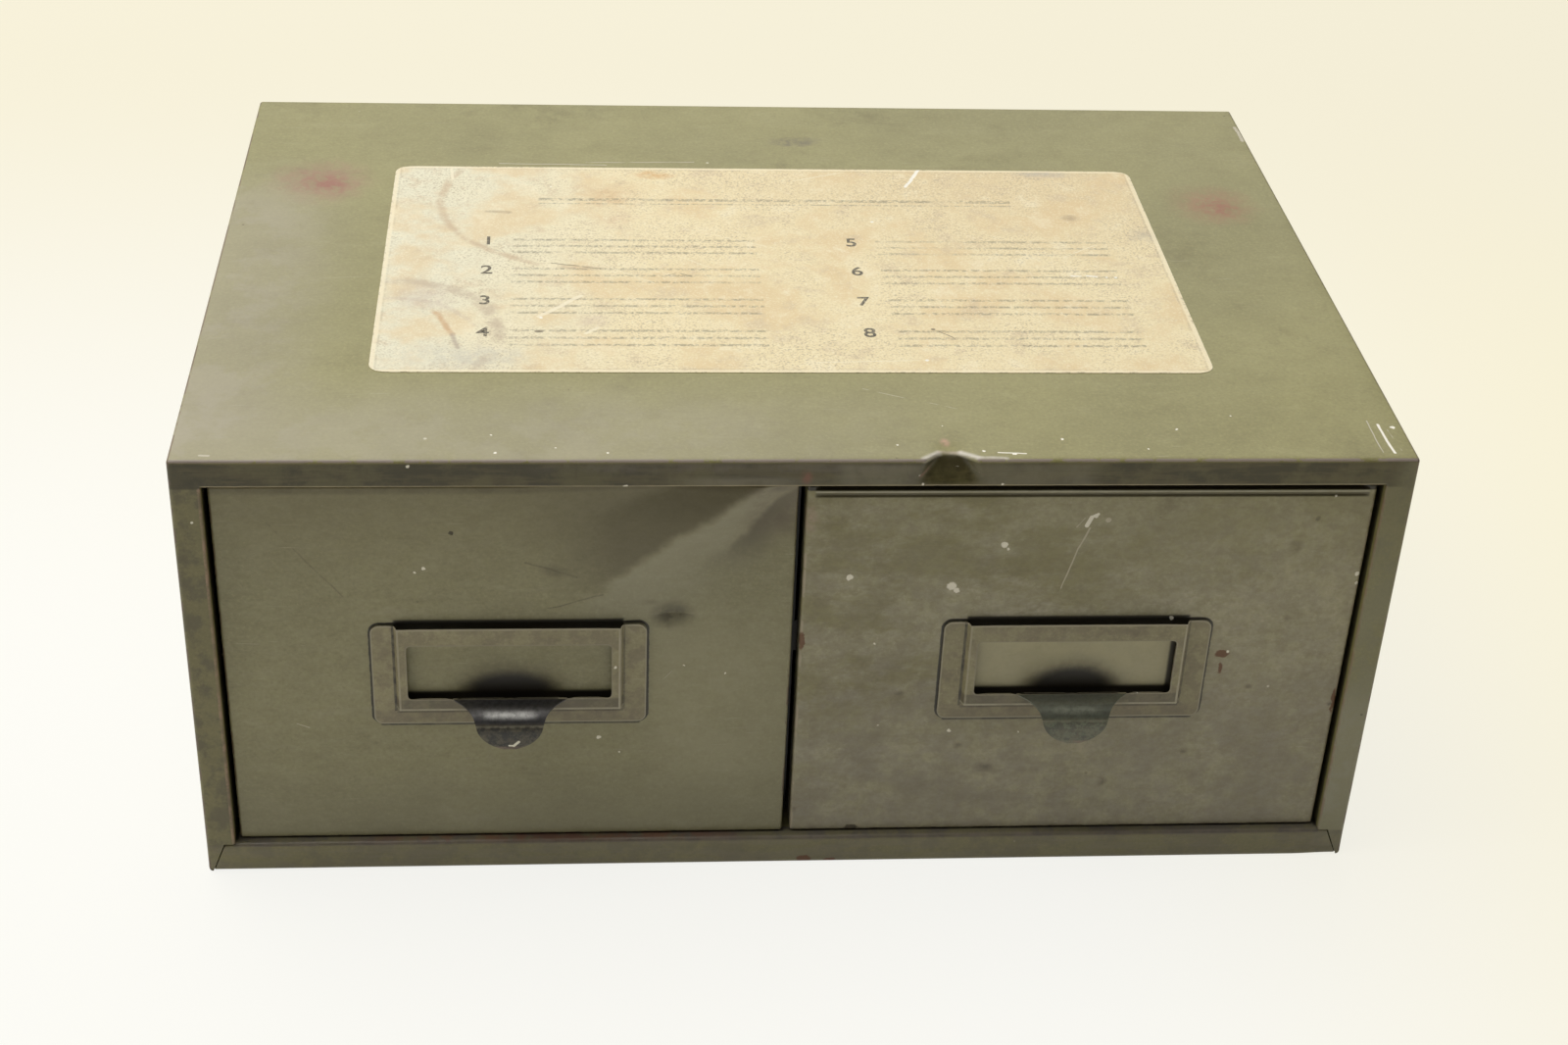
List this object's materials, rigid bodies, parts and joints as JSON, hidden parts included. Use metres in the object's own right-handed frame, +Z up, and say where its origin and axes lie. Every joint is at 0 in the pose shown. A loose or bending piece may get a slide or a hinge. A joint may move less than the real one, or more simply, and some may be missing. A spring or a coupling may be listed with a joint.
{
  "type": "drawer chest",
  "caption": "Low steel chest with side-by-side card drawers, each with a label holder and finger pull, an inner follower and a stop catch.",
  "frame": {"origin": "middle of the footprint, pulls included, on the surface that the chest stands on", "axes": "+X to the right as seen from the front, -Y out of the drawers' fronts, +Z up"},
  "size_m": [0.36, 0.2618, 0.1495],
  "materials": {
    "olive_enamel": "semi-gloss",
    "drawer_enamel": "semi-gloss",
    "plated_steel": "dull plating",
    "black_rubber": "matt",
    "cream_label": "aged"
  },
  "bodies": {
    "case": {"case_shell": "olive_enamel", "base_pan": "olive_enamel", "back_panel": "olive_enamel", "rear_buffers": "black_rubber", "centre_partition": "olive_enamel", "top_label": "cream_label", "left_outer_guide": "olive_enamel", "left_inner_guide": "olive_enamel", "left_stop_bracket": "olive_enamel", "right_outer_guide": "olive_enamel", "right_inner_guide": "olive_enamel", "right_stop_bracket": "olive_enamel"},
    "left_drawer": {"left_drawer_tray": "drawer_enamel", "left_drawer_front": "drawer_enamel", "left_drawer_back": "drawer_enamel", "left_pull_plate": "drawer_enamel", "left_catch_rivet": "plated_steel", "left_follower_rail": "drawer_enamel", "left_rail_rivets": "plated_steel"},
    "left_follower": {"left_follower_shoe": "plated_steel", "left_follower_plate": "drawer_enamel", "left_follower_pin": "plated_steel"},
    "left_lever": {"left_follower_lever": "plated_steel"},
    "left_catch": {"left_drawer_catch": "plated_steel"},
    "right_drawer": {"right_drawer_tray": "drawer_enamel", "right_drawer_front": "drawer_enamel", "right_drawer_back": "drawer_enamel", "right_pull_plate": "drawer_enamel", "right_catch_rivet": "plated_steel", "right_follower_rail": "drawer_enamel", "right_rail_rivets": "plated_steel"},
    "right_follower": {"right_follower_shoe": "plated_steel", "right_follower_plate": "drawer_enamel", "right_follower_pin": "plated_steel"},
    "right_lever": {"right_follower_lever": "plated_steel"},
    "right_catch": {"right_drawer_catch": "plated_steel"}
  },
  "joints": [
    {"name": "left_drawer_slide", "type": "slide", "parent": "case", "child": "left_drawer", "axis": [0, -1, 0], "range_m": [0, 0.2072]},
    {"name": "left_catch_pivot", "type": "hinge", "parent": "left_drawer", "child": "left_catch", "pos_m": [-0.0855, 0.12595, 0.126], "axis": [0, 1, 0], "range_deg": [-90, 90]},
    {"name": "left_follower_slide", "type": "slide", "parent": "left_drawer", "child": "left_follower", "axis": [0, -1, 0], "range_m": [0, 0.1702]},
    {"name": "left_lever_pivot", "type": "hinge", "parent": "left_follower", "child": "left_lever", "pos_m": [-0.0855, 0.09245, 0.03], "axis": [-1, 0, 0], "range_deg": [0, 25]},
    {"name": "right_drawer_slide", "type": "slide", "parent": "case", "child": "right_drawer", "axis": [0, -1, 0], "range_m": [0, 0.2072]},
    {"name": "right_catch_pivot", "type": "hinge", "parent": "right_drawer", "child": "right_catch", "pos_m": [0.0855, 0.12595, 0.126], "axis": [0, 1, 0], "range_deg": [-90, 90]},
    {"name": "right_follower_slide", "type": "slide", "parent": "right_drawer", "child": "right_follower", "axis": [0, -1, 0], "range_m": [0, 0.1702]},
    {"name": "right_lever_pivot", "type": "hinge", "parent": "right_follower", "child": "right_lever", "pos_m": [0.0855, 0.09245, 0.03], "axis": [-1, 0, 0], "range_deg": [0, 25]}
  ]
}
